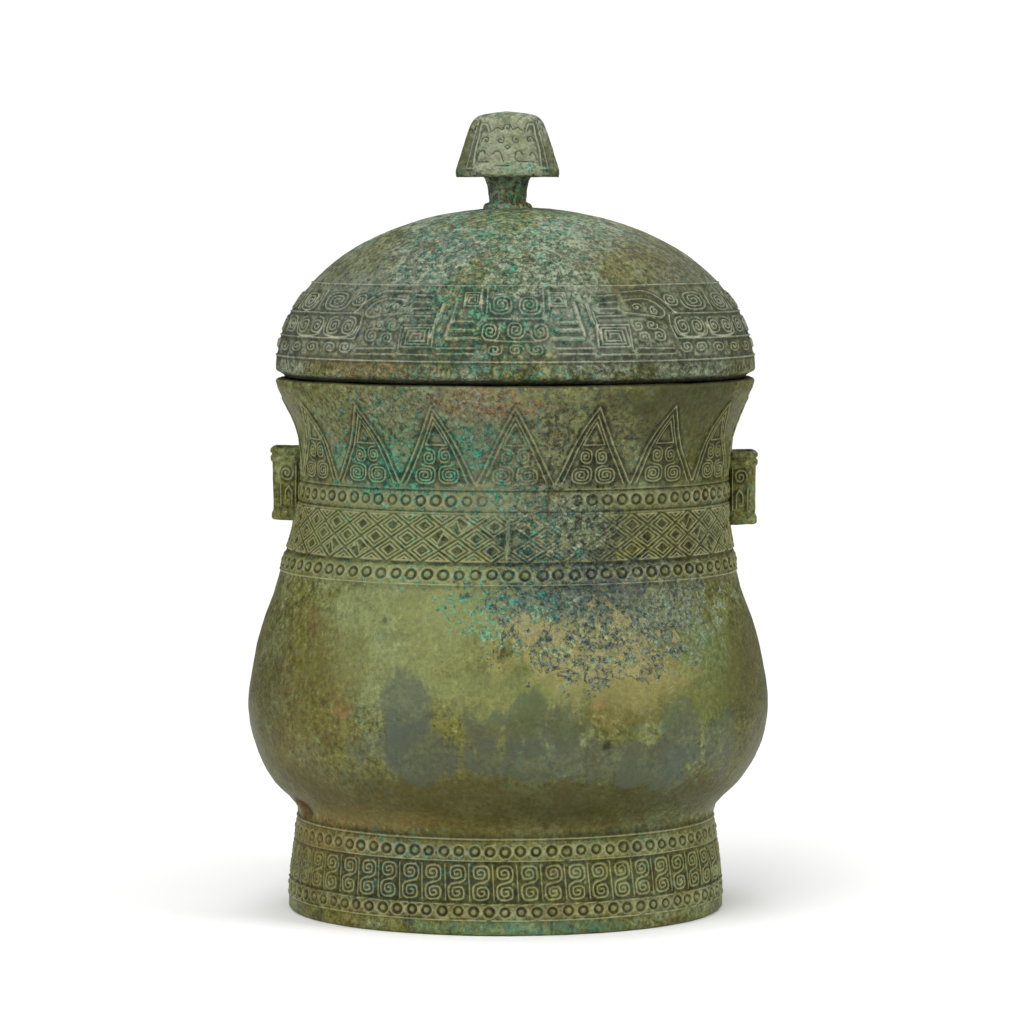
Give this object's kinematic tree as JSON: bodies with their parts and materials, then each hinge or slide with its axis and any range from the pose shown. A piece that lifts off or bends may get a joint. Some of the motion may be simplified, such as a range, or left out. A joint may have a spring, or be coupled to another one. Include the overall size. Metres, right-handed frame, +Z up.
{
  "type": "bronze zhi vessel",
  "caption": "Archaic lidded bronze wine vessel with a pear-shaped oval body on a ring foot, tubular lugs on the neck, bands of cast relief and a domed lid with a cap-shaped knob.",
  "frame": {"origin": "on the ground, at the middle of the bounding box under the belly's axis", "axes": "+Z up from the foot to the knob; the front faces -Y along the oval's short way; the two lugs lie on +X and -X along its long way"},
  "size_m": [0.136, 0.1088, 0.2079],
  "materials": {
    "body_bronze": "corroded olive-green and grey patina on cast bronze",
    "lid_bronze": "corroded olive-green patina with malachite green specks on cast bronze"
  },
  "bodies": {
    "root": {"vessel_body": "body_bronze", "lid": "lid_bronze"}
  },
  "joints": []
}
